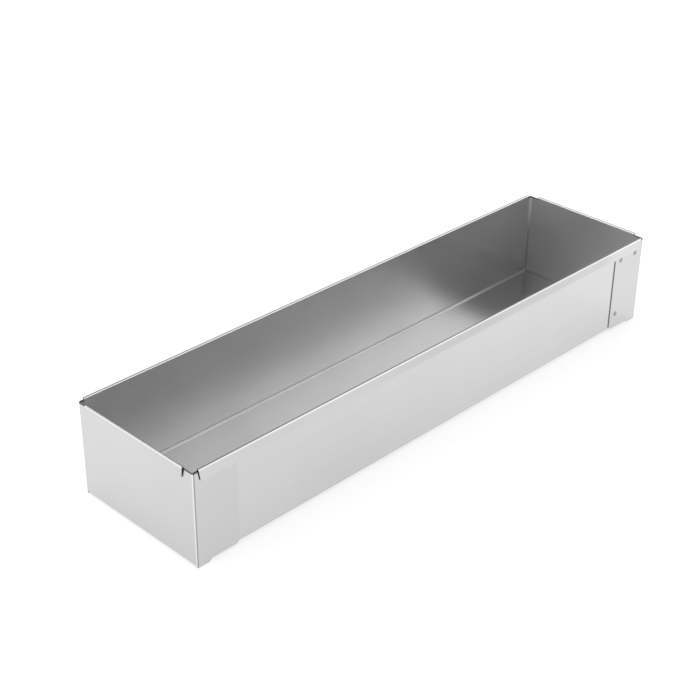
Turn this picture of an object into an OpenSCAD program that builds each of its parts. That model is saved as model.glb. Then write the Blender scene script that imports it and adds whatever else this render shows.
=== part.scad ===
// Rectangular cake mold: a long open pan folded from three pieces of thin sheet.
// The trough makes the floor and both long walls. An end cap closes each end. Its
// tabs lap the long walls outside, tucked under their hems and held by rivets, and
// its doubled lower edge is a ledge under the floor. The pan stands on the ledges
// and on the feet of the tabs beside them.
// Origin: middle of the footprint, on the surface that the pan stands on.
// X runs along the length to the right, Y from front to back, Z up.

/* [Overall size] */
// Length over the hems of the end walls
overall_l = 403; // [250:1:600]
// Width over the hems of the long walls
overall_w = 100; // [60:1:200]
// Height from the ledges to the rim
overall_h = 63; // [40:1:120]

/* [Sheet] */
// Thickness of the sheet
sheet_t = 0.5; // [0.4:0.05:0.7]
// Gap between the tabs and the long walls that they lap
lap_gap = 0.1; // [0.05:0.05:0.3]
// Gap between the floor and the ledges that carry it
seat_gap = 0.05; // [0.02:0.01:0.1]
// Inside radius of the bends between floor and long walls
floor_bend_r = 1.6; // [0.5:0.1:3]
// Inside radius of the upright bends between end wall and tabs
corner_bend_r = 0.7; // [0.4:0.1:2]
// Gap between the ends of the trough and the bends of the end caps
trough_end_gap = 0.05; // [0.05:0.05:0.5]

/* [Rim hems] */
// Height of the hem flaps below the rim
hem_h = 7.5; // [5:0.1:12]
// Room left inside the fold beside the tab that is tucked in it
hem_slack = 0.15; // [0.1:0.05:0.8]
// Gap under the lower edge of a long flap, where it is pressed to the sheet behind it
hem_press_gap = 0.05; // [0.05:0.05:0.1]
// How far an end flap, which is left open, closes in to its wall at the lower edge
end_hem_close = 0.3; // [0.1:0.05:0.5]
// Inset of the long hems from the outside of the end walls, at the rim
long_hem_inset = 3.4; // [2.5:0.1:6]
// Inset of the end hems from the outside of the tabs, at the rim
end_hem_inset = 7.4; // [4:0.1:12]
// Further inset of each hem end at the lower edge of its flap
hem_slant = 1.4; // [0.5:0.1:3]
// Length over which a long flap steps down from the tab to the wall
hem_joggle = 7; // [4:0.5:15]
// Drop of the corner edges below the fold of the hems
corner_drop = 0.4; // [0.2:0.1:3]

/* [End cap tabs] */
// Width of a tab from the outside of the end wall
tab_w = 30.5; // [24:0.5:50]
// Rise of a tab's lower edge above the ledge, beyond its foot
tab_rise = 0.4; // [0.1:0.1:3]
// Width of the foot on which a tab stands, from the outside of the end wall
foot_w = 8.5; // [5:0.5:15]
// How far the side of a foot slants out up to the lower edge of its tab
foot_slant = 2; // [0.5:0.5:4]
// Slit between a tab's foot and the end of the ledge
foot_slit = 0.2; // [0.1:0.05:0.5]
// Chamfer at the lower free corner of a tab
tab_chamfer = 2; // [0.5:0.5:5]
// Length that a long hem stays raised past the free edge of the tab
tab_hem_margin = 1.5; // [0.5:0.5:5]
// Lead of the tab's notch ahead of the end of the long hem
notch_lead = 0.6; // [0.2:0.1:1]
// Length of the tab's notch inside the long hem
notch_run = 3; // [1:0.5:6]
// Cover of the long hem's flap over the bottom of the notch
notch_cover = 0.6; // [0.3:0.1:2]

/* [Ledges] */
// Depth of a ledge under the floor, from the outside of the end wall
ledge_d = 9; // [7:0.5:20]
// Slit between the two layers of a ledge
ledge_slit = 0.5; // [0.1:0.05:0.8]
// Inside radius of the bend between end wall and ledge
ledge_bend_r = 1.8; // [0.5:0.1:3]

/* [Rivets] */
// Radius of a rivet shank
rivet_r = 1; // [0.6:0.05:1.2]
// Radius of a countersunk rivet end at the face of its sheet
rivet_sink_r = 1.35; // [1.25:0.05:1.45]
// Depth of a countersunk rivet end
rivet_sink_h = 0.3; // [0.15:0.05:0.35]
// Radius of a domed rivet head
rivet_head_r = 1.8; // [1.5:0.05:2]
// Height of a domed rivet head
rivet_head_h = 0.55; // [0.2:0.05:0.55]
// Clearance of a rivet in its holes
rivet_clear = 0.03; // [0.02:0.01:0.06]
// Gap between the upper rivet heads and the long hem
rivet_hem_gap = 0.1; // [0.1:0.1:2]
// Distance of the corner rivet from the outside of the end wall
rivet_corner_in = 8.4; // [5:0.1:10]
// Distance of the other rivets from the free edge of the tab
rivet_edge_in = 6; // [4:0.5:12]
// Height of the lower rivet
rivet_low_z = 12.4; // [6:0.1:25]

/* [Hidden] */
$fn = 64;
// Length by which cuts run past the faces that they cut
over = 1;
// Hems: room inside the fold, heights, and how far they stand out of their wall
hem_gap = sheet_t + lap_gap + hem_slack;
fold_z = overall_h - hem_gap / 2 - sheet_t;
hem_low_z = overall_h - hem_h;
hem_out = hem_gap + sheet_t;
corner_z = fold_z - corner_drop;
// Gaps between the wall and the lower edge of a long flap that lies on a tab, and of an end flap
hem_tab_gap = lap_gap + sheet_t + hem_press_gap;
end_hem_gap = hem_gap - end_hem_close;
// Outer faces of the long walls, end walls and tabs
wall_y = overall_w / 2 - hem_out;
end_x = overall_l / 2 - hem_out;
tab_y = wall_y + lap_gap + sheet_t;
// Ledges and floor
ledge_h = 2 * sheet_t + ledge_slit;
floor_z = ledge_h + seat_gap;
tab_low_z = ledge_h + tab_rise;
// Outside radii of the end cap's bends, and half widths of its flat wall and ledge
corner_out_r = corner_bend_r + sheet_t;
ledge_out_r = ledge_bend_r + sheet_t;
flat_half = tab_y - corner_out_r;
ledge_half = flat_half - foot_slit;
// How far a bend of the end cap reaches in from its wall, at a height above its other leg
function bend_reach(r, height) = r - sqrt(pow(r, 2) - pow(r - min(height, r), 2));
trough_reach = max(bend_reach(corner_bend_r, lap_gap), bend_reach(ledge_bend_r, floor_z - sheet_t));
trough_half = end_x - sheet_t - trough_reach - trough_end_gap;
// Hems along the rims: the long ones lie on the tabs at both ends
long_hem_l = 2 * (end_x - long_hem_inset);
long_hem_raised = tab_w + tab_hem_margin - long_hem_inset;
end_hem_l = 2 * (tab_y - end_hem_inset);
// Rivets: grip through wall and tab, and places on a tab as [name, inset, height]
rivet_grip = 2 * sheet_t + lap_gap;
rivet_high_z = hem_low_z - rivet_hem_gap - rivet_head_r;
RIVET_PLACES = [
  ["corner", rivet_corner_in, rivet_high_z],
  ["upper", tab_w - rivet_edge_in, rivet_high_z],
  ["lower", tab_w - rivet_edge_in, rivet_low_z],
];
// Tabs as [name, side of the width, end of the length, domed rivet heads]
TABS = [
  ["front_left", -1, -1, false],
  ["front_right", -1, 1, true],
  ["back_left", 1, -1, false],
  ["back_right", 1, 1, true],
];
function rivet_name(tab, place) = str(tab[0], "_", place[0], "_rivet");

// Quarter of a bent strip, its centre at the origin, in the first quadrant
module quarter_bend(r) {
  difference() {
    intersection() {
      circle(r + sheet_t);
      square(r + sheet_t);
    }
    circle(r);
  }
}

// Half of a bent strip, its centre at the origin, above the first axis
module half_bend(r) {
  difference() {
    intersection() {
      circle(r + sheet_t);
      translate([-r - sheet_t, 0]) square([2 * (r + sheet_t), r + sheet_t]);
    }
    circle(r);
  }
}

// Extrudes a section drawn in Y and Z along X, centred
module along_x(length) {
  rotate([90, 0, 90]) linear_extrude(length, center = true) children();
}

// Extrudes a section drawn in X and Z along Y, centred
module along_y(length) {
  rotate([90, 0, 0]) linear_extrude(length, center = true) children();
}

// Outline of a flap's section, its lower edge at the given gap from the wall
function flap_points(low_gap) = [
  [hem_gap, fold_z],
  [hem_gap + sheet_t, fold_z],
  [low_gap + sheet_t, hem_low_z],
  [low_gap, hem_low_z],
];

// Section of the fold over the rim, from the corner edge to the top of the flap
module fold_section() {
  translate([hem_gap / 2, fold_z]) half_bend(hem_gap / 2);
  translate([-sheet_t, corner_z]) square([sheet_t, fold_z - corner_z]);
}

// Section of a whole hem
module hem_section(low_gap) {
  fold_section();
  polygon(flap_points(low_gap));
}

// Stretch of a flap that steps from one gap at x = 0 to another at the joggle's end
module flap_joggle(gap_a, gap_b) {
  points = concat(
    [for (p = flap_points(gap_a)) [0, p[0], p[1]]],
    [for (p = flap_points(gap_b)) [hem_joggle, p[0], p[1]]]
  );
  ends = [[3, 2, 1, 0], [4, 5, 6, 7]];
  top_and_bottom = [[0, 1, 5, 4], [3, 7, 6, 2]];
  sides = [[5, 1, 2], [5, 2, 6], [0, 4, 7], [0, 7, 3]];
  polyhedron(points, concat(ends, top_and_bottom, sides));
}

// Side view of a hem: its ends slant inwards to the lower edge
module hem_outline(length) {
  half = length / 2;
  past = over * hem_slant / hem_h;
  polygon([
    [-half - past, overall_h + over],
    [half + past, overall_h + over],
    [half - hem_slant - past, hem_low_z - over],
    [-half + hem_slant + past, hem_low_z - over],
  ]);
}

// Hem along X: the outer face of the wall is at y = 0 and the flap hangs on +Y, its
// lower edge at the given gap. At each end a stretch may be raised on a tab.
module hem(length, low_gap, raised = 0) {
  half = length / 2;
  raised_l = raised + over;
  pressed_half = raised > 0 ? half - raised - hem_joggle : half + over;
  intersection() {
    union() {
      along_x(2 * pressed_half) hem_section(low_gap);
      if (raised > 0) for (m = [0, 1]) mirror([m, 0, 0]) {
        translate([half + over - raised_l / 2, 0, 0]) along_x(raised_l) hem_section(hem_tab_gap);
        translate([pressed_half + hem_joggle / 2, 0, 0]) along_x(hem_joggle) fold_section();
        translate([pressed_half, 0, 0]) flap_joggle(low_gap, hem_tab_gap);
      }
    }
    along_y(4 * hem_out) hem_outline(length);
  }
}

// Cross-section of the trough up to the corner edges, in Y and Z
module trough_section() {
  floor_half = wall_y - sheet_t - floor_bend_r;
  bend_z = floor_z + sheet_t + floor_bend_r;
  translate([-floor_half, floor_z]) square([2 * floor_half, sheet_t]);
  for (m = [0, 1]) mirror([m, 0]) {
    translate([floor_half, bend_z]) mirror([0, 1]) quarter_bend(floor_bend_r);
    translate([wall_y - sheet_t, bend_z]) square([sheet_t, corner_z - bend_z]);
  }
}

// Puts its children on one rivet's axis, at the inside of the wall, Z to the outside
module at_rivet(tab, place) {
  translate([tab[2] * (end_x - place[1]), tab[1] * (wall_y - sheet_t), place[2]])
    rotate([-90 * tab[1], 0, 0]) children();
}

// Section of a rivet's body for turning, or with spare room of its hole: the inner end is
// countersunk in the wall, and without a domed head so is the outer end in the tab
module rivet_body(spare, domed) {
  r = rivet_r + spare;
  sink_r = rivet_sink_r + spare;
  polygon(concat(
    [[0, 0], [sink_r, 0], [r, rivet_sink_h]],
    domed ? [[r, rivet_grip]] : [[r, rivet_grip - rivet_sink_h], [sink_r, rivet_grip]],
    [[0, rivet_grip]]
  ));
}

// Holes for the rivets of one tab, through wall and tab
module rivet_holes(tab) {
  outer_r = (tab[3] ? rivet_r : rivet_sink_r) + rivet_clear;
  for (place = RIVET_PLACES) at_rivet(tab, place) rotate_extrude() {
    rivet_body(rivet_clear, tab[3]);
    translate([0, -over]) square([rivet_sink_r + rivet_clear, over]);
    translate([0, rivet_grip]) square([outer_r, over]);
  }
}

// Floor and long walls in one piece, with a hem along each rim
module trough() {
  color("silver") difference() {
    union() {
      along_x(2 * trough_half) trough_section();
      for (turn = [0, 180])
        rotate([0, 0, turn]) translate([0, wall_y, 0]) hem(long_hem_l, hem_press_gap, long_hem_raised);
    }
    for (tab = TABS) rivet_holes(tab);
  }
}

// Plan of the two tabs with their bends, the outer face of the end wall at x = 0
module tabs_plan() {
  for (m = [0, 1]) mirror([0, m]) {
    translate([corner_out_r, flat_half]) mirror([1, 0]) quarter_bend(corner_bend_r);
    translate([corner_out_r, tab_y - sheet_t]) square([tab_w - corner_out_r, sheet_t]);
  }
}

// Side view of the notch that parts the corner of a tab from its tucked tongue
module notch_outline() {
  low_z = hem_low_z + notch_cover;
  lead = long_hem_inset - notch_lead;
  polygon([
    [lead, overall_h],
    [lead + hem_slant, low_z],
    [long_hem_inset + hem_slant + notch_run, low_z],
    [long_hem_inset + hem_slant + notch_run, overall_h],
  ]);
}

// Side view of what is cut below a tab beyond its foot, and off its lower free corner
module tab_low_outline() {
  polygon([
    [foot_w, -over],
    [foot_w, 0],
    [foot_w + foot_slant, tab_low_z],
    [tab_w - tab_chamfer, tab_low_z],
    [tab_w, tab_low_z + tab_chamfer],
    [tab_w + over, tab_low_z + tab_chamfer],
    [tab_w + over, -over],
  ]);
}

// Section of the ledge in X and Z: the wall bends in under the floor and folds back
module ledge_section() {
  slit_r = ledge_slit / 2;
  fold_x = ledge_d - slit_r - sheet_t;
  back_x = ledge_out_r + trough_end_gap;
  translate([ledge_out_r, ledge_out_r]) rotate(180) quarter_bend(ledge_bend_r);
  translate([ledge_out_r, 0]) square([fold_x - ledge_out_r, sheet_t]);
  translate([fold_x, sheet_t + slit_r]) rotate(-90) half_bend(slit_r);
  translate([back_x, sheet_t + ledge_slit]) square([fold_x - back_x, sheet_t]);
}

// End wall with two tabs, a hem along its rim and a doubled ledge, open to +X,
// drawn with the outer face of its wall at x = 0
module end_cap_form() {
  difference() {
    linear_extrude(corner_z) tabs_plan();
    along_y(4 * tab_y) notch_outline();
    along_y(4 * tab_y) tab_low_outline();
  }
  translate([0, -flat_half, ledge_out_r])
    cube([sheet_t, 2 * flat_half, corner_z - ledge_out_r]);
  along_y(2 * ledge_half) ledge_section();
  rotate([0, 0, 90]) hem(end_hem_l, end_hem_gap);
}

module end_cap(end) {
  difference() {
    translate([end * end_x, 0, 0]) mirror([end > 0 ? 1 : 0, 0, 0]) end_cap_form();
    for (tab = TABS) if (tab[2] == end) rivet_holes(tab);
  }
}

module left_end_cap() {
  color("gainsboro") end_cap(-1);
}

module right_end_cap() {
  color("gainsboro") end_cap(1);
}

// Section of a domed rivet head for turning
module rivet_head() {
  dome_r = (pow(rivet_head_r, 2) + pow(rivet_head_h, 2)) / (2 * rivet_head_h);
  intersection() {
    translate([0, rivet_grip + rivet_head_h - dome_r]) circle(dome_r);
    translate([0, rivet_grip]) square([rivet_head_r, rivet_head_h]);
  }
}

// Rivet at one place on a tab, flush inside the wall
module rivet(tab, place) {
  color("darkgray") at_rivet(tab, place) rotate_extrude() {
    rivet_body(0, tab[3]);
    if (tab[3]) rivet_head();
  }
}

trough();
left_end_cap();
right_end_cap();
for (tab = TABS) for (place = RIVET_PLACES)
  rivet(tab, place);
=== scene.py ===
"""Looks of the rectangular cake mold: satin sheet metal on a white table."""
import math

import bmesh
import bpy
from mathutils import Matrix, Vector


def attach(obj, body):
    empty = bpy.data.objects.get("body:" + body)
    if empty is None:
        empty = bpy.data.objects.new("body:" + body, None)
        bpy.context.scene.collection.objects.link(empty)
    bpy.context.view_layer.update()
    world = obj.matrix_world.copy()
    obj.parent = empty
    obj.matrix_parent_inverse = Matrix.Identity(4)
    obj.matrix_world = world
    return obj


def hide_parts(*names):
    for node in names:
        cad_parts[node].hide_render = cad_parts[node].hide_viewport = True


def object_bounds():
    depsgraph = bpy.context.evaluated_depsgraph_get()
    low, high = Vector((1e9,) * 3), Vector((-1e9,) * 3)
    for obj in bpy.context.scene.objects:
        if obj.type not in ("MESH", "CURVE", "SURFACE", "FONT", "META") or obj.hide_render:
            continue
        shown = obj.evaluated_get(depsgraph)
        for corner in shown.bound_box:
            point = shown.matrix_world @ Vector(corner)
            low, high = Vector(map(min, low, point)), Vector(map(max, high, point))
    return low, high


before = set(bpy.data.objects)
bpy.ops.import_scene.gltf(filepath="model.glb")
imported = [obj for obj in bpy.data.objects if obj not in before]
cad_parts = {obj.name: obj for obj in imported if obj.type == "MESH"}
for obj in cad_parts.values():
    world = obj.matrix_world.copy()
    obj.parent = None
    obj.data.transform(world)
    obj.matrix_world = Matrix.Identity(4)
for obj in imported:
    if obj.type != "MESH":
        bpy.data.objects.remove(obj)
CAD_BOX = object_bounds()

MM = 0.001

# Camera: where it stands from the origin, in metres, and how it looks
CAMERA_PLACE = Vector((-0.5931, -0.5466, 0.5018))
CAMERA_AZIMUTH = math.radians(-45.61)
CAMERA_ELEVATION = math.radians(30.13)
CAMERA_ROLL = math.radians(0.64)
FOCAL_PX = 1481.0
FRAME_PX = 700
SENSOR_MM = 36.0
CLIP_START = 0.01

# Studio: a plain level all round, and its soft boxes and dark flags as
# [azimuth from the x axis, elevation, reach, change of the level], angles in degrees
STUDIO_LEVEL = 1.07
STUDIO_ZONES = [
    [-158, 37, 30, -0.65],
    [-128, 37, 30, -0.65],
    [-72, 44, 22, -0.35],
    [-30, 26, 22, 0.45],
    [24, 44, 22, 0.5],
    [60, 26, 22, -0.75],
    [135, 22, 22, -0.45],
    [150, 42, 28, 0.75],
]
# Height over the horizon where the zones start and are full, as the sine of its angle
HORIZON_STEP = (0.14, 0.32)
KEY_FROM = Vector((0.1, 0.75, 0.65))
KEY_SPREAD = math.radians(25)
KEY_POWER = 0.7
# Table: half its side, its own grey, and the light that tops it up to white
TABLE_HALF = 6.0
TABLE_SHADE = 0.4
TABLE_GLOW = 0.7
# Soft shade in the table's reflection, in front of the mold: middle, reach and depth
SHADE_MIDDLE = Vector((-0.12, -0.16, 0.0))
SHADE_REACH = (0.05, 0.30)
SHADE_DEPTH = 0.06

# Sizes of the folded sheets
SHEET = 0.5 * MM
LAP_GAP = 0.1 * MM
HEM_ROOM = 0.75 * MM
FLOOR_Z = 1.55 * MM
FLOOR_BEND = 1.6 * MM
HEM_HEIGHT = 7.5 * MM
LONG_HEM_INSET = 3.4 * MM
END_HEM_INSET = 7.4 * MM
TAB_WIDTH = 30.5 * MM
CORNER_DROP = 0.4 * MM

# Places that follow from them
HEM_OUT = HEM_ROOM + SHEET
END_X = CAD_BOX[1][0] - HEM_OUT
WALL_Y = CAD_BOX[1][1] - HEM_OUT
TAB_Y = WALL_Y + LAP_GAP + SHEET
FOLD_Z = CAD_BOX[1][2] - HEM_ROOM / 2 - SHEET
CORNER_Z = FOLD_Z - CORNER_DROP
FLAP_Z = CAD_BOX[1][2] - HEM_HEIGHT
TAB_X = END_X - TAB_WIDTH
INNER_X = END_X - SHEET
INNER_Y = WALL_Y - SHEET
CREASE_Y = INNER_Y - FLOOR_BEND
CREASE_Z = FLOOR_Z + SHEET + FLOOR_BEND

# Soft steps by place, as (where the step starts, where it is full)
CORNER_X_STEP = (END_X - 1.3 * MM, END_X - 1.2 * MM)
RIM_Z_STEP = (FOLD_Z - 0.1 * MM, FOLD_Z + 0.2 * MM)
OUTER_Y_STEP = (WALL_Y - 0.1 * MM, WALL_Y)
FLAP_Z_STEP = (FLAP_Z - 1.0 * MM, FLAP_Z + 2.0 * MM)
FLAP_X_STEP = (TAB_X, TAB_X - 15 * MM)
FLAP_RIGHT_STEP = (-110 * MM, 30 * MM)
LOW_EDGE_Z_STEP = (4 * MM, 3 * MM)
CORNER_EDGE_Z_STEP = (CORNER_Z - 1.0 * MM, CORNER_Z - 0.5 * MM)
CORNER_EDGE_X_STEP = (END_X - LONG_HEM_INSET - 0.4 * MM, END_X - LONG_HEM_INSET + 0.1 * MM)
CORNER_EDGE_Y_STEP = (TAB_Y - END_HEM_INSET - 0.4 * MM, TAB_Y - END_HEM_INSET + 0.1 * MM)
SEAM_IN_STEP = (TAB_X - 0.9 * MM, TAB_X - 0.5 * MM)
SEAM_OUT_STEP = (TAB_X + 0.3 * MM, TAB_X + 0.1 * MM)
SEAM_Z_STEP = (FLAP_Z, FLAP_Z - 0.5 * MM)
# Distances from the inner corner where its painted highlight strip starts, is full, is still full and
# ends
STRIP_START = -1.3 * MM
STRIP_FULL = -0.9 * MM
STRIP_STAYS = 0.03 * MM
STRIP_ENDS = 0.1 * MM
STRIP_Z_STEP = (32 * MM, 52 * MM)
END_INNER_STEP = (INNER_X - 0.06 * MM, INNER_X - 0.02 * MM)
END_OUTER_STEP = (END_X - 0.2 * MM, END_X - 0.3 * MM)
END_SIDE_STEP = (WALL_Y + 0.05 * MM, WALL_Y - 0.05 * MM)
CREASE_Z_STEP = (CREASE_Z + 0.1 * MM, CREASE_Z - 0.1 * MM)
CREASE_Y_STEP = (CREASE_Y - 0.1 * MM, CREASE_Y + 0.1 * MM)
HEAD_Y_STEP = (TAB_Y - 0.1 * MM, TAB_Y)

# Soft steps by the part of the surface's direction along one axis
UPRIGHT_STEP = (0.2, 0.5)
FACING_STEP = (0.68, 0.74)
HIGHLIGHT_TURN_STEP = (0.1, 0.3)
SHADE_TURN_STEP = (0.03, 0.15)
RIM_TOP_STEP = (0.72, 0.9)
LOW_EDGE_STEP = (-0.15, -0.6)
CREASE_UP_STEP = (0.0, 0.05)

# Finish of the sheet metal, and the greys and shares of its painted highlights and painted shade
SHEET_GREY = 0.645
CAP_GREY = 0.62
TROUGH_ROUGH = 0.18
TROUGH_DRAWN = 0.85
CAP_ROUGH = 0.23
CAP_DRAWN = 0.0
END_INNER_ROUGH = 0.45
# Painted highlight: grey of the end wall's side of the upright corner bends
BEND_HIGHLIGHT_GREY = 0.80
# Painted highlight: grey of the hem folds along the rim
RIM_HIGHLIGHT_GREY = 0.86
# Painted shade: grey of the upward-facing top of the rim folds
RIM_TOP_SHADE_GREY = 0.2
# Painted shade: grey of the long wall's side of the upright corner bends
BEND_SHADE_GREY = 0.38
# Painted shade: share kept on the long hem flaps outside
FLAP_SHADE_SHARE = 0.89
# Painted shade: share kept on the downward-facing edges near the table
LOW_EDGE_SHADE_SHARE = 0.6
# Painted shade: share kept at the corner pieces between the hem ends
CORNER_EDGE_SHADE_SHARE = 0.2
# Painted shadow: share kept along the free edge of the right tabs
SEAM_SHADE_SHARE = 0.75
# Painted highlight: grey of the light strip in the inner corners
INNER_CORNER_HIGHLIGHT_GREY = 0.98
INNER_CORNER_ROUGH = 0.65
CREASE_ROUGH = 0.42
# Painted shade: the cut faces nearly black, as shade in the gaps; their shear marks and stains are
# their own
CUT_SHADE_GREY = 0.03
CUT_ROUGH = 0.5
# Painted shade: grey of the right rivets' heads, made dark for the shade seen on them
RIVET_SHADE_GREY = 0.32
# Painted shade in laps, slits and crevices, by ambient occlusion
CREVICE_REACH = 1.3 * MM
CREVICE_OPEN = (0.1, 0.45)
CREVICE_DEPTH = 0.6
CREVICE_SAMPLES = 8

# Grain and unevenness of the finish: noises as (scale, detail), and how far each one changes a value
GRAIN_ALONG = 5.0
GRAIN_ACROSS = 420.0
STREAK_NOISE = (1.0, 3.0)
CLOUD_NOISE = (14.0, 3.0)
PATCH_NOISE = (33.0, 2.0)
SPECK_NOISE = (2600.0, 1.0)
WAVE_NOISE = (24.0, 1.0)
SHEAR_NOISE = (2400.0, 2.0)
STAIN_NOISE = (160.0, 2.0)
RIVET_NOISE = (900.0, 2.0)
STREAK_TONE = (0.97, 1.03)
CLOUD_TONE = (0.96, 1.04)
SPECK_TONE = (0.985, 1.015)
PATCH_ROUGH = (0.85, 1.15)
STREAK_ROUGH = (0.9, 1.1)
WAVE_HEIGHT = 0.1 * MM
STREAK_HEIGHT = 0.006 * MM
SHEAR_TONE = (0.6, 1.4)
STAIN_TONE = (0.7, 1.3)
STAIN_ROUGH = (0.8, 1.2)
RIVET_TONE = (0.96, 1.04)
RIVET_ROUGH = (0.9, 1.1)

# Copies of the sheets: angles that part smooth and sharp edges, cut faces and flat ones
SMOOTH_TURN = math.radians(35)
CUT_TURN = math.radians(50)
FLAT_TURN = math.radians(0.3)
WELD_REACH = 0.001 * MM


def add_camera():
    """Camera at the photograph's viewing angle."""
    az, el, roll = CAMERA_AZIMUTH, CAMERA_ELEVATION, CAMERA_ROLL
    back = Vector((math.sin(az) * math.cos(el), -math.cos(az) * math.cos(el), math.sin(el)))
    right = Vector((0, 0, 1)).cross(back).normalized()
    up = back.cross(right)
    tilted_right = math.cos(roll) * right + math.sin(roll) * up
    tilted_up = math.cos(roll) * up - math.sin(roll) * right
    data = bpy.data.cameras.new("camera")
    data.sensor_width = SENSOR_MM
    data.lens = FOCAL_PX / FRAME_PX * SENSOR_MM
    data.clip_start = CLIP_START
    camera = bpy.data.objects.new("camera", data)
    turn = Matrix((tilted_right, tilted_up, back)).transposed().to_4x4()
    camera.matrix_world = Matrix.Translation(CAMERA_PLACE) @ turn
    bpy.context.scene.collection.objects.link(camera)
    bpy.context.scene.camera = camera


class Nodes:
    """Short calls for building a node tree."""

    def __init__(self, tree):
        self.tree = tree
        tree.nodes.clear()

    def add(self, kind, inputs=None, **settings):
        node = self.tree.nodes.new(kind)
        for name, value in settings.items():
            setattr(node, name, value)
        for name, value in (inputs or {}).items():
            socket = node.inputs[name]
            if isinstance(value, bpy.types.NodeSocket):
                self.tree.links.new(value, socket)
            else:
                socket.default_value = value
        return node

    def math(self, operation, a, b=0.0):
        return self.add("ShaderNodeMath", {0: a, 1: b}, operation=operation).outputs[0]

    def product(self, *factors):
        result = factors[0]
        for factor in factors[1:]:
            result = self.math("MULTIPLY", result, factor)
        return result

    def step(self, value, low, high):
        """Soft step from 0 at low to 1 at high."""
        inputs = {"Value": value, "From Min": low, "From Max": high}
        return self.add("ShaderNodeMapRange", inputs, interpolation_type="SMOOTHSTEP").outputs["Result"]

    def span(self, value, low, high):
        """Value from 0 to 1 spread between two levels."""
        inputs = {"Value": value, "To Min": low, "To Max": high}
        return self.add("ShaderNodeMapRange", inputs).outputs["Result"]

    def blend(self, share, a, b):
        return self.add("ShaderNodeMix", {"Factor": share, "A": a, "B": b}).outputs["Result"]

    def noise(self, place, scale, detail):
        inputs = {"Vector": place, "Scale": scale, "Detail": detail}
        return self.add("ShaderNodeTexNoise", inputs).outputs["Fac"]

    def parts(self, vector):
        return self.add("ShaderNodeSeparateXYZ", {0: vector}).outputs

    def vector(self, x, y, z):
        return self.add("ShaderNodeCombineXYZ", {0: x, 1: y, 2: z}).outputs[0]


def grey(level):
    return (level, level, level, 1.0)


def new_material(name):
    material = bpy.data.materials.new(name)
    material.use_nodes = True
    return material, Nodes(material.node_tree)


def add_world():
    """Plain studio light with a few soft zones."""
    world = bpy.data.worlds.new("studio")
    bpy.context.scene.world = world
    world.use_nodes = True
    n = Nodes(world.node_tree)
    direction = n.add("ShaderNodeTexCoord").outputs["Generated"]
    zones = 0.0
    for azimuth, elevation, reach, change in STUDIO_ZONES:
        az, el = math.radians(azimuth), math.radians(elevation)
        way = Vector((math.cos(az) * math.cos(el), math.sin(az) * math.cos(el), math.sin(el)))
        inputs = {0: direction, 1: way}
        toward = n.add("ShaderNodeVectorMath", inputs, operation="DOT_PRODUCT").outputs["Value"]
        share = n.step(toward, math.cos(math.radians(reach)), 1.0)
        zones = n.math("ADD", zones, n.product(share, change))
    above = n.step(n.parts(direction)["Z"], *HORIZON_STEP)
    level = n.math("MAXIMUM", 0.0, n.math("ADD", STUDIO_LEVEL, n.product(zones, above)))
    light = n.add("ShaderNodeBackground", {"Color": grey(1.0), "Strength": level})
    n.add("ShaderNodeOutputWorld", {"Surface": light.outputs["Background"]})


def add_key():
    """Soft key light from behind, which shades the table in front of the mold."""
    lamp = bpy.data.lights.new("key", "SUN")
    lamp.energy = KEY_POWER
    lamp.angle = KEY_SPREAD
    key = bpy.data.objects.new("key", lamp)
    key.rotation_euler = KEY_FROM.to_track_quat("Z", "Y").to_euler()
    bpy.context.scene.collection.objects.link(key)


def table_material():
    """White table: its own light tops it up to white where it is seen."""
    material, n = new_material("table")
    path = n.add("ShaderNodeLightPath").outputs
    seen = n.math("MAXIMUM", path["Is Camera Ray"], path["Is Glossy Ray"])
    seen = n.math("MAXIMUM", seen, path["Is Transmission Ray"])
    place = n.add("ShaderNodeTexCoord").outputs["Object"]
    inputs = {0: place, 1: SHADE_MIDDLE}
    distance = n.add("ShaderNodeVectorMath", inputs, operation="DISTANCE").outputs["Value"]
    near, far = SHADE_REACH
    shaded = n.product(n.step(distance, far, near), path["Is Glossy Ray"])
    level = n.span(shaded, TABLE_GLOW, TABLE_GLOW - SHADE_DEPTH)
    diffuse = n.add("ShaderNodeBsdfDiffuse", {"Color": grey(TABLE_SHADE)})
    glow = n.add("ShaderNodeEmission", {"Color": grey(1.0), "Strength": n.product(seen, level)})
    both = n.add("ShaderNodeAddShader", {0: diffuse.outputs[0], 1: glow.outputs[0]})
    n.add("ShaderNodeOutputMaterial", {"Surface": both.outputs[0]})
    return material


def add_table():
    """Flat table that the mold stands on."""
    half = TABLE_HALF
    corners = [(-half, -half, 0), (half, -half, 0), (half, half, 0), (-half, half, 0)]
    mesh = bpy.data.meshes.new("table")
    mesh.from_pydata(corners, [], [(0, 1, 2, 3)])
    table = bpy.data.objects.new("table", mesh)
    table.data.materials.append(table_material())
    bpy.context.scene.collection.objects.link(table)


def crevice_shade(n):
    """Painted shade: darkening of laps, slits and crevices by ambient occlusion."""
    inputs = {"Distance": CREVICE_REACH}
    open_share = n.add("ShaderNodeAmbientOcclusion", inputs, samples=CREVICE_SAMPLES).outputs["AO"]
    return n.span(n.step(open_share, *CREVICE_OPEN), 1.0 - CREVICE_DEPTH, 1.0)


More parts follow.
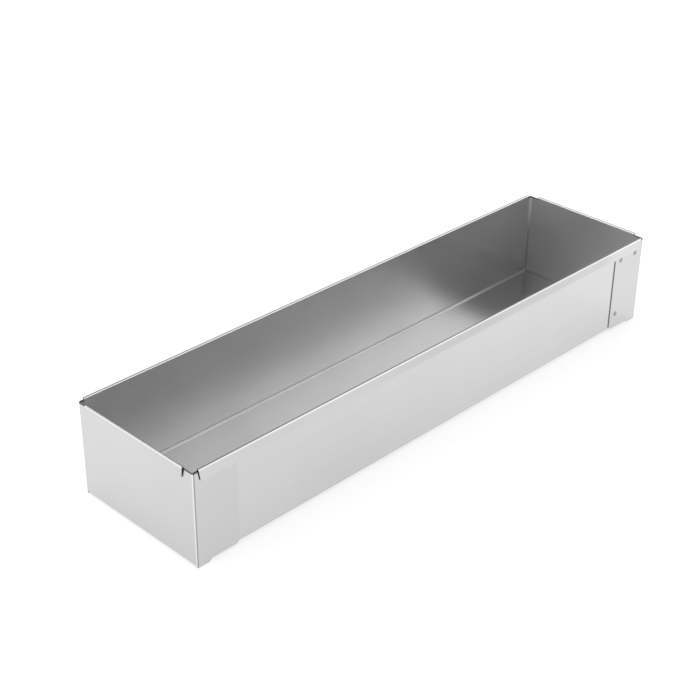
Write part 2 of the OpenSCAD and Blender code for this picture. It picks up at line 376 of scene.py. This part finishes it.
def sheet_marks(n, place, facing):
    """Shares of the marked places: bends, rims, edges, seams and inner faces, which carry painted
    highlights, painted shade and rougher spots.
    """
    x, y, z = n.parts(place)
    side_x, side_y, side_z = [n.math("ABSOLUTE", part) for part in facing]
    out_x, out_y = n.math("ABSOLUTE", x), n.math("ABSOLUTE", y)
    marks = {}
    upright = n.math("SUBTRACT", 1.0, n.step(side_z, *UPRIGHT_STEP))
    corner = n.product(upright, n.step(out_x, *CORNER_X_STEP))
    # Painted highlight: a bright line on the end wall's side of each upright corner bend
    marks["bright_bend"] = n.product(
        corner, n.step(side_x, *FACING_STEP), n.step(side_y, *HIGHLIGHT_TURN_STEP),
    )
    # Painted shade: a dark line on the long wall's side of each upright corner bend
    marks["rubbed_bend"] = n.product(
        corner, n.step(side_y, *FACING_STEP), n.step(side_x, *SHADE_TURN_STEP),
    )
    # Painted highlight: the hem folds along the rim are made lighter all round
    marks["rim"] = n.step(z, *RIM_Z_STEP)
    # Painted shade: a dark line on the upward-facing top of the rim folds
    marks["rim_top"] = n.product(marks["rim"], n.step(facing["Z"], *RIM_TOP_STEP))
    # Painted shade: a darker band on the long hem flaps outside, deeper towards the right end
    marks["flap"] = n.product(
        n.step(z, *FLAP_Z_STEP), n.step(out_y, *OUTER_Y_STEP),
        n.step(out_x, *FLAP_X_STEP), n.step(x, *FLAP_RIGHT_STEP),
    )
    # Painted shade: darker downward-facing surfaces near the table
    marks["low_edge"] = n.product(n.step(facing["Z"], *LOW_EDGE_STEP), n.step(z, *LOW_EDGE_Z_STEP))
    # Painted shade: darker corner pieces between the hem ends, where the slits are
    marks["corner_edge"] = n.product(
        n.step(z, *CORNER_EDGE_Z_STEP),
        n.step(out_x, *CORNER_EDGE_X_STEP),
        n.step(out_y, *CORNER_EDGE_Y_STEP),
    )
    # Painted shadow: a dark line on the wall along the free edge of the right tabs
    marks["seam"] = n.product(
        n.step(x, *SEAM_IN_STEP), n.step(x, *SEAM_OUT_STEP),
        n.step(out_y, *OUTER_Y_STEP), n.step(z, *SEAM_Z_STEP),
    )
    # Painted highlight: a light upright strip in the inner corners, fading out downwards
    marks["inner_corner"] = n.product(
        n.step(out_x, INNER_X + STRIP_START, INNER_X + STRIP_FULL),
        n.step(out_y, INNER_Y + STRIP_START, INNER_Y + STRIP_FULL),
        n.step(out_x, INNER_X + STRIP_ENDS, INNER_X + STRIP_STAYS),
        n.step(out_y, INNER_Y + STRIP_ENDS, INNER_Y + STRIP_STAYS),
        n.step(z, *STRIP_Z_STEP),
    )
    marks["end_inner"] = n.product(
        n.step(out_x, *END_INNER_STEP), n.step(out_x, *END_OUTER_STEP), n.step(out_y, *END_SIDE_STEP),
    )
    marks["crease"] = n.product(
        n.step(z, *CREASE_Z_STEP), n.step(out_y, *CREASE_Y_STEP), n.step(facing["Z"], *CREASE_UP_STEP),
    )
    return marks


def sheet_material(name, sheet_grey, along, across, sheet_rough, drawn):
    """Satin rolled sheet: its grain along one way, its marked places in painted highlights, painted
    shade and roughness of their own.
    """
    material, n = new_material(name)
    coords = n.add("ShaderNodeTexCoord").outputs
    place = coords["Object"]
    marks = sheet_marks(n, place, n.parts(coords["Normal"]))

    x, y, z = n.parts(place)
    ways = {"x": x, "z": z, "y+z": n.math("ADD", y, z), "x+y": n.math("ADD", x, y)}
    grain = n.vector(n.product(ways[along], GRAIN_ALONG), n.product(ways[across], GRAIN_ACROSS), 0.0)
    streak = n.noise(grain, *STREAK_NOISE)
    cloud = n.noise(place, *CLOUD_NOISE)
    patch = n.noise(place, *PATCH_NOISE)
    speck = n.noise(place, *SPECK_NOISE)

    tone = n.blend(marks["bright_bend"], sheet_grey, BEND_HIGHLIGHT_GREY)
    tone = n.blend(marks["inner_corner"], tone, INNER_CORNER_HIGHLIGHT_GREY)
    tone = n.blend(marks["rim"], tone, RIM_HIGHLIGHT_GREY)
    tone = n.blend(marks["rim_top"], tone, RIM_TOP_SHADE_GREY)
    tone = n.blend(marks["rubbed_bend"], tone, BEND_SHADE_GREY)
    tone = n.product(
        tone,
        n.span(marks["flap"], 1.0, FLAP_SHADE_SHARE),
        n.span(marks["low_edge"], 1.0, LOW_EDGE_SHADE_SHARE),
        n.span(marks["corner_edge"], 1.0, CORNER_EDGE_SHADE_SHARE),
        n.span(marks["seam"], 1.0, SEAM_SHADE_SHARE),
        n.span(cloud, *CLOUD_TONE),
        n.span(streak, *STREAK_TONE),
        n.span(speck, *SPECK_TONE),
        crevice_shade(n),
    )
    roughness = n.blend(marks["end_inner"], sheet_rough, END_INNER_ROUGH)
    roughness = n.blend(marks["crease"], roughness, CREASE_ROUGH)
    roughness = n.blend(marks["inner_corner"], roughness, INNER_CORNER_ROUGH)
    roughness = n.product(roughness, n.span(patch, *PATCH_ROUGH), n.span(streak, *STREAK_ROUGH))

    wave = n.noise(place, *WAVE_NOISE)
    dented = n.add("ShaderNodeBump", {"Height": wave, "Strength": 1.0, "Distance": WAVE_HEIGHT})
    inputs = {"Height": streak, "Strength": 1.0, "Distance": STREAK_HEIGHT, "Normal": dented.outputs[0]}
    grained = n.add("ShaderNodeBump", inputs)
    shader = n.add("ShaderNodeBsdfPrincipled", {
        "Base Color": tone,
        "Metallic": 1.0,
        "Roughness": roughness,
        "Anisotropic": drawn,
        "Normal": grained.outputs[0],
        "Tangent": n.add("ShaderNodeTangent", direction_type="RADIAL", axis="X").outputs["Tangent"],
    })
    n.add("ShaderNodeOutputMaterial", {"Surface": shader.outputs[0]})
    return material


def cut_material():
    """Sheared edge of the sheet: painted dark as shade, and dull, with fine shear marks."""
    material, n = new_material("cut_edge_shade")
    place = n.add("ShaderNodeTexCoord").outputs["Object"]
    shear = n.noise(place, *SHEAR_NOISE)
    stains = n.noise(place, *STAIN_NOISE)
    tone = n.product(CUT_SHADE_GREY, n.span(shear, *SHEAR_TONE), n.span(stains, *STAIN_TONE))
    shader = n.add("ShaderNodeBsdfPrincipled", {
        "Base Color": tone,
        "Metallic": 1.0,
        "Roughness": n.product(CUT_ROUGH, n.span(stains, *STAIN_ROUGH)),
    })
    n.add("ShaderNodeOutputMaterial", {"Surface": shader.outputs[0]})
    return material


def rivet_material(name, head_grey):
    """Rivet: its head outside the tab in the given grey, a painted shade grey on the right rivets, the
    rest like the sheet.
    """
    material, n = new_material(name)
    place = n.add("ShaderNodeTexCoord").outputs["Object"]
    outside = n.step(n.math("ABSOLUTE", n.parts(place)["Y"]), *HEAD_Y_STEP)
    stains = n.noise(place, *RIVET_NOISE)
    tone = n.blend(outside, SHEET_GREY, head_grey)
    tone = n.product(tone, n.span(stains, *RIVET_TONE), crevice_shade(n))
    shader = n.add("ShaderNodeBsdfPrincipled", {
        "Base Color": tone,
        "Metallic": 1.0,
        "Roughness": n.product(CAP_ROUGH, n.span(stains, *RIVET_ROUGH)),
    })
    n.add("ShaderNodeOutputMaterial", {"Surface": shader.outputs[0]})
    return material


def dress(node, piece, materials):
    """Copy of a node with smooth bends, and with its cut faces in a material of their own that paints
    them dark as shade.
    """
    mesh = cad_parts[node].data.copy()
    mesh.name = piece
    b = bmesh.new()
    b.from_mesh(mesh)
    bmesh.ops.remove_doubles(b, verts=b.verts, dist=WELD_REACH)
    bmesh.ops.dissolve_limit(b, angle_limit=FLAT_TURN, verts=b.verts, edges=b.edges)
    for face in b.faces:
        angles = [edge.calc_face_angle() for edge in face.edges if len(edge.link_faces) == 2]
        is_cut = len(materials) > 1 and min(angles) > CUT_TURN
        face.material_index = 1 if is_cut else 0
        face.smooth = True
    for edge in b.edges:
        edge.smooth = len(edge.link_faces) == 2 and edge.calc_face_angle() < SMOOTH_TURN
    b.to_mesh(mesh)
    b.free()
    mesh.materials.clear()
    for material in materials:
        mesh.materials.append(material)
    obj = bpy.data.objects.new(piece, mesh)
    bpy.context.scene.collection.objects.link(obj)
    weighted = obj.modifiers.new("flat_normals", "WEIGHTED_NORMAL")
    weighted.keep_sharp = True
    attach(obj, "root")
    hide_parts(node)


def dress_all():
    """Dressed copies of all nodes."""
    trough_metal = sheet_material("trough_metal", SHEET_GREY, "x", "y+z", TROUGH_ROUGH, TROUGH_DRAWN)
    cap_metal = sheet_material("cap_metal", CAP_GREY, "x+y", "z", CAP_ROUGH, CAP_DRAWN)
    cut = cut_material()
    dress("trough", "trough_sheet", [trough_metal, cut])
    for end in ("left", "right"):
        dress(f"{end}_end_cap", f"{end}_end_sheet", [cap_metal, cut])
    finishes = {
        "left": rivet_material("left_rivet", SHEET_GREY),
        "right": rivet_material("right_rivet", RIVET_SHADE_GREY),
    }
    for node in [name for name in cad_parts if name.endswith("_rivet")]:
        end = "left" if "_left_" in node else "right"
        dress(node, node.replace("_rivet", "_stud"), [finishes[end]])


add_camera()
add_world()
add_key()
add_table()
dress_all()

bpy.context.scene.view_settings.view_transform = "Standard"
